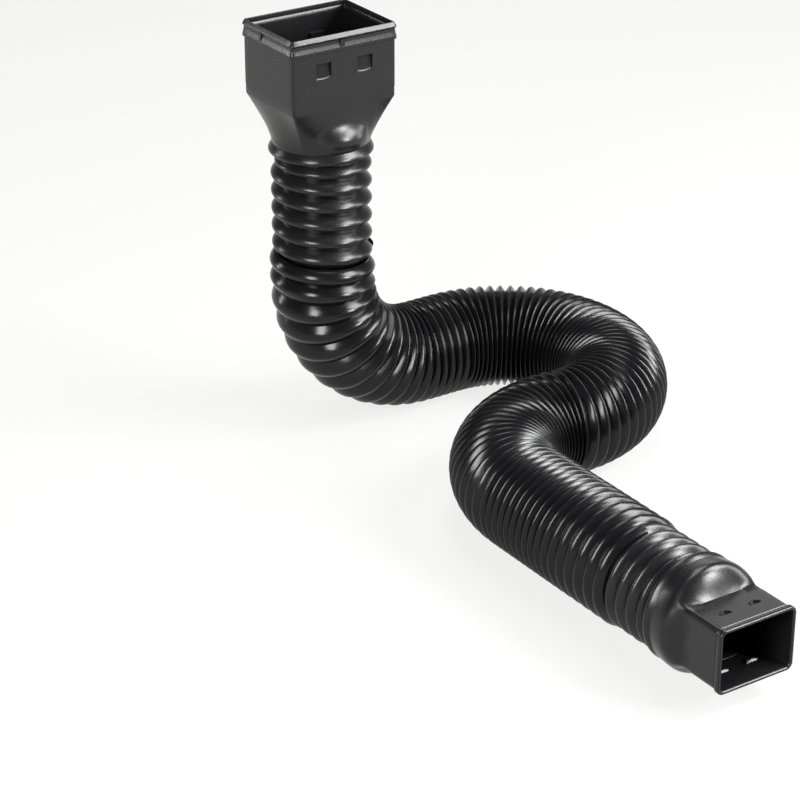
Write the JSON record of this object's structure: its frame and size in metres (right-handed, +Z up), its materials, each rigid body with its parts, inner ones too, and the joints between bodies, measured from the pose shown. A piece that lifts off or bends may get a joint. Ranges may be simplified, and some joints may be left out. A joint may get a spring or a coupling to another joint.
{
  "type": "flexible downspout extension",
  "caption": "Black corrugated flexible hose that leads rainwater away from a downspout, with a screw-in rectangular adapter at each end.",
  "frame": {"origin": "on the ground below the middle of the whole object's bounding box", "axes": "+Z up along the riser, +X the way the hose first runs on the ground, -Y the way the outlet mouth points"},
  "size_m": [0.3666, 0.694, 0.423],
  "materials": {
    "adapter_plastic": "gloss black",
    "hose_plastic": "gloss black"
  },
  "bodies": {
    "hose": {"flexible_hose": "hose_plastic"},
    "inlet": {"inlet_adapter": "adapter_plastic"},
    "outlet": {"outlet_adapter": "adapter_plastic"}
  },
  "joints": [
    {"name": "inlet_adapter_turn", "type": "hinge", "parent": "hose", "child": "inlet", "pos_m": [-0.12451, 0.29518, 0.19964], "axis": [0, 0, 1], "range_deg": [-18, 18]},
    {"name": "outlet_adapter_turn", "type": "hinge", "parent": "hose", "child": "outlet", "pos_m": [-0.10747, -0.20323, 0.05184], "axis": [0, -1, 0], "range_deg": [-18, 18]}
  ]
}
